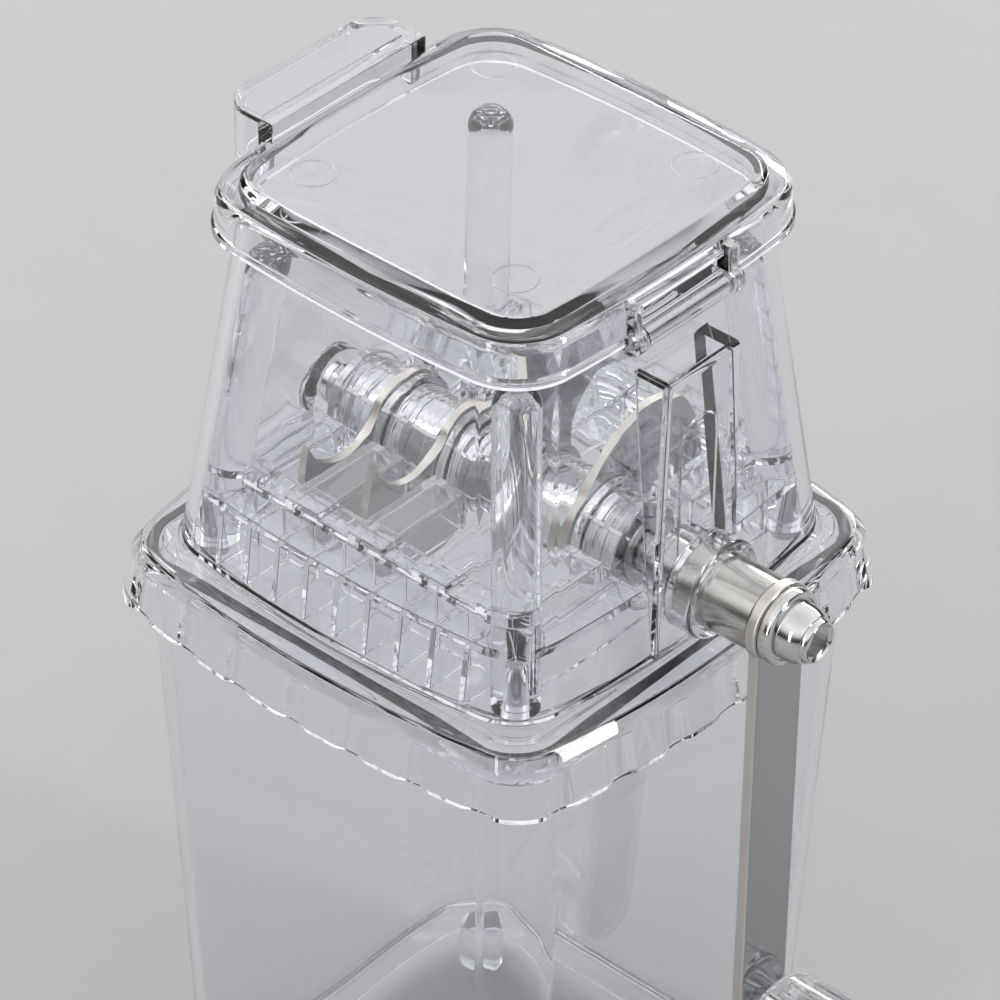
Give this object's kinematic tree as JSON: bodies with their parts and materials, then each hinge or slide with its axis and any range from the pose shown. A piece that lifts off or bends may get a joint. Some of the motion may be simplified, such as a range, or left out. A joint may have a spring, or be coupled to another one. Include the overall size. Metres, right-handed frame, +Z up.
{
  "type": "hand crank ice crusher",
  "caption": "Clear square ice crusher: hinged lid, tapered hopper, hooked blades between fixed teeth, steel crank with a turning grip, lift-off head on a tall jar.",
  "frame": {"origin": "on the table plane, under the centre of the jar", "axes": "+Z up along the jar, +X towards the crank, -Y the front"},
  "size_m": [0.1881, 0.136, 0.2822],
  "materials": {
    "clear_plastic": "clear, glossy",
    "frosted_plastic": "translucent",
    "steel_hardware": "turned steel",
    "blade_steel": "polished stainless",
    "polished_steel": "mirror polished",
    "grip_plastic": "fluted, glossy"
  },
  "bodies": {
    "container": {"ice_container": "clear_plastic", "container_feet": "frosted_plastic"},
    "head": {"base_flange": "clear_plastic", "crusher_housing": "clear_plastic", "corner_posts": "clear_plastic", "corner_screws": "steel_hardware", "crusher_frame": "clear_plastic", "comb_front": "clear_plastic", "comb_rear": "clear_plastic", "shaft_collar": "clear_plastic", "bush_crank_side": "steel_hardware", "bush_far_side": "steel_hardware", "hinge_pin": "steel_hardware"},
    "rotor": {"drive_shaft": "polished_steel", "spacer_1": "clear_plastic", "spacer_2": "clear_plastic", "spacer_3": "clear_plastic", "spacer_4": "clear_plastic", "spacer_5": "clear_plastic", "blade_1": "blade_steel", "blade_2": "blade_steel", "blade_3": "blade_steel", "blade_4": "blade_steel", "thrust_washers": "steel_hardware", "shaft_sleeve": "polished_steel", "crank_arm": "polished_steel", "crank_washer": "polished_steel", "crank_bolt": "polished_steel", "knob_spindle": "steel_hardware"},
    "knob": {"grip_knob": "grip_plastic", "knob_cap": "grip_plastic"},
    "lid": {"lid_cover": "clear_plastic"}
  },
  "joints": [
    {"name": "head_lift", "type": "slide", "parent": "container", "child": "head", "axis": [0, 0, 1], "range_m": [0, 0.06]},
    {"name": "crank_turn", "type": "hinge", "parent": "head", "child": "rotor", "pos_m": [0, 0, 0.1995], "axis": [1, 0, 0], "continuous": true},
    {"name": "grip_turn", "type": "hinge", "parent": "rotor", "child": "knob", "pos_m": [0.0841, 0, 0.0875], "axis": [1, 0, 0], "continuous": true},
    {"name": "lid_hinge", "type": "hinge", "parent": "head", "child": "lid", "pos_m": [0.0502, 0, 0.267], "axis": [0, 1, 0], "range_deg": [0, 100]}
  ]
}
